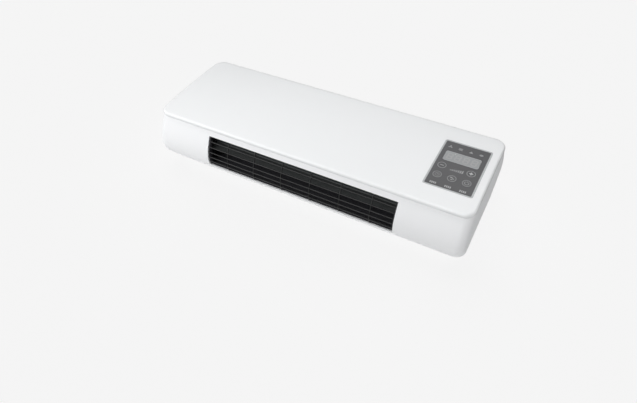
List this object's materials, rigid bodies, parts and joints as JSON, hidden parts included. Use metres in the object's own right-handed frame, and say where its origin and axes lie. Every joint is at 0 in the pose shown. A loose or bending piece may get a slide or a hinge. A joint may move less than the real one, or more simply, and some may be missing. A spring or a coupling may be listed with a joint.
{
  "type": "fan convector heater",
  "caption": "Long flat ceramic fan heater with a touch control panel and digital display at one end, a wire outlet grille along one side and a cross-flow blower inside.",
  "frame": {"origin": "centre of the footprint, on the surface that the four rubber feet rest on", "axes": "+X along the length towards the touch controls, +Y towards the air intake (up when the heater hangs on a wall), -Y towards the warm air outlet, +Z out of the front panel"},
  "size_m": [0.5616, 0.2176, 0.1122],
  "materials": {
    "panel_white": "smooth satin-gloss moulded white",
    "shell_white": "fine matt moulded white",
    "grille_charcoal": "matt charcoal moulding",
    "bezel_grey": "satin light grey",
    "overlay_grey": "satin dark grey film with printed symbols",
    "display_lens": "smooth smoked grey",
    "black_plastic": "matt black heat-resistant moulding",
    "circuit_board": "green solder mask",
    "steel": "zinc plated",
    "filter_fabric": "fine woven nylon mesh",
    "impeller_grey": "matt dark grey",
    "rubber": "soft matt",
    "bearing_brass": "oiled sintered",
    "aluminium": "bare folded strip",
    "element_metal": "bare tube",
    "relay_blue": "moulded box"
  },
  "bodies": {
    "case": {"front_panel": "panel_white", "front_shell": "shell_white", "rear_shell": "shell_white", "outlet_grille": "grille_charcoal", "control_bezel": "bezel_grey", "control_overlay": "overlay_grey", "display_window": "display_lens", "display_module": "black_plastic", "control_board": "circuit_board", "touch_spring_1": "steel", "touch_spring_2": "steel", "touch_spring_3": "steel", "touch_spring_4": "steel", "touch_spring_5": "steel", "intake_guard": "grille_charcoal", "fan_motor": "steel", "motor_bracket": "steel", "shaft_bearing": "bearing_brass", "bearing_holder": "rubber", "fan_scroll": "black_plastic", "air_tongue": "black_plastic", "duct_end_left": "black_plastic", "duct_end_right": "black_plastic", "fin_pack_1": "aluminium", "fin_pack_2": "aluminium", "fin_pack_3": "aluminium", "ptc_element_1": "element_metal", "ptc_element_2": "element_metal", "heater_cap_left": "black_plastic", "heater_cap_right": "black_plastic", "thermal_cutout": "black_plastic", "thermal_fuse": "bezel_grey", "louver_motor": "steel", "louver_bush": "black_plastic", "main_board": "circuit_board", "relay_1": "relay_blue", "relay_2": "relay_blue", "filter_capacitor": "black_plastic", "terminal_block": "shell_white", "rocker_housing": "black_plastic", "cord_gland": "rubber", "foot_1": "rubber", "foot_2": "rubber", "foot_3": "rubber", "foot_4": "rubber", "case_screw_1": "steel", "case_screw_2": "steel", "case_screw_3": "steel", "case_screw_4": "steel", "case_screw_5": "steel", "case_screw_6": "steel"},
    "impeller": {"crossflow_impeller": "impeller_grey", "drive_coupling": "rubber", "stub_axle": "steel", "motor_shaft": "steel"},
    "louver": {"louver_flap": "grille_charcoal"},
    "rocker": {"rocker_button": "black_plastic"},
    "filter": {"filter_frame": "shell_white", "filter_mesh": "filter_fabric"}
  },
  "joints": [
    {"name": "impeller_spin", "type": "hinge", "parent": "case", "child": "impeller", "pos_m": [0, 0.018, 0.058], "axis": [1, 0, 0], "continuous": true},
    {"name": "louver_swing", "type": "hinge", "parent": "case", "child": "louver", "pos_m": [0, -0.074, 0.067], "axis": [1, 0, 0], "range_deg": [-35, 35]},
    {"name": "rocker_press", "type": "hinge", "parent": "case", "child": "rocker", "pos_m": [-0.2768, 0.024, 0.054], "axis": [0, 0, 1], "range_deg": [0, 20]},
    {"name": "filter_slide", "type": "slide", "parent": "case", "child": "filter", "axis": [0, 1, 0], "range_m": [0, 0.03]}
  ]
}
